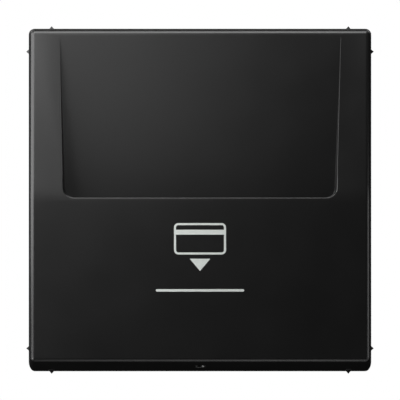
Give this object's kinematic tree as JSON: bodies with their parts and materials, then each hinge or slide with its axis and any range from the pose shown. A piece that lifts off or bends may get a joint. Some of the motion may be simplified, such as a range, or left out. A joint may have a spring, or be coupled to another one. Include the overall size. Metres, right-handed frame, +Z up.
{
  "type": "hotel key card switch",
  "caption": "Flush wall switch with a square black cover and a pocket for a key card; the card tips a lever that presses a plunger and closes the contacts.",
  "frame": {"origin": "on the wall plane, which is the back face of the support ring, midway between the two box-screw slots", "axes": "+X to the viewer's right, +Y from the viewer into the wall, +Z up; the cover faces -Y"},
  "size_m": [0.071, 0.0398, 0.071],
  "materials": {
    "cover_plastic": "satin moulded black",
    "guide_plastic": "matt moulded dark grey",
    "lever_plastic": "natural low-friction plastic",
    "base_plastic": "moulded light grey",
    "slider_plastic": "moulded orange",
    "zinc_steel": "zinc-plated sheet steel",
    "spring_steel": "drawn spring wire and strip",
    "contact_brass": "stamped brass",
    "rivet_brass": "headed brass",
    "silver": "silver contact metal"
  },
  "bodies": {
    "housing": {"front_cover": "cover_plastic", "card_guide": "guide_plastic", "guide_screws": "zinc_steel", "lever_pin": "zinc_steel", "return_spring": "spring_steel", "support_ring": "zinc_steel", "switch_base": "base_plastic", "base_lid": "base_plastic", "base_rivets": "rivet_brass", "line_terminal": "contact_brass", "load_terminal": "contact_brass", "fixed_contacts": "silver", "line_clamp_spring": "spring_steel", "load_clamp_spring": "spring_steel"},
    "card_lever": {"card_lever": "lever_plastic"},
    "plunger": {"plunger": "lever_plastic", "contact_spring": "spring_steel"},
    "contact_bridge": {"contact_bridge": "contact_brass", "bridge_contacts": "silver"},
    "line_release": {"line_release_slider": "slider_plastic"},
    "load_release": {"load_release_slider": "slider_plastic"}
  },
  "joints": [
    {"name": "lever_hinge", "type": "hinge", "parent": "housing", "child": "card_lever", "pos_m": [0, -0.00658, -0.025], "axis": [-1, 0, 0], "range_deg": [0, 5], "stiffness_Nm_per_rad": 0.2, "springref_deg": -5.73},
    {"name": "plunger_slide", "type": "slide", "parent": "housing", "child": "plunger", "axis": [0, 1, 0], "range_m": [0, 0.0022], "deforming": ["return_spring"]},
    {"name": "bridge_slide", "type": "slide", "parent": "housing", "child": "contact_bridge", "axis": [0, 1, 0], "range_m": [0, 0.00166], "deforming": ["contact_spring"]},
    {"name": "line_release_slide", "type": "slide", "parent": "housing", "child": "line_release", "axis": [0, -1, 0], "range_m": [0, 0.0014], "stiffness_N_per_m": 1500, "springref_m": -0.0005, "deforming": ["line_clamp_spring"]},
    {"name": "load_release_slide", "type": "slide", "parent": "housing", "child": "load_release", "axis": [0, -1, 0], "range_m": [0, 0.0014], "stiffness_N_per_m": 1500, "springref_m": -0.0005, "deforming": ["load_clamp_spring"]}
  ],
  "couplings": [
    {"joint": "plunger_slide", "follows": "lever_hinge", "m_per_rad": 0.025},
    {"joint": "bridge_slide", "follows": "lever_hinge", "m_per_rad": 0.0189}
  ]
}
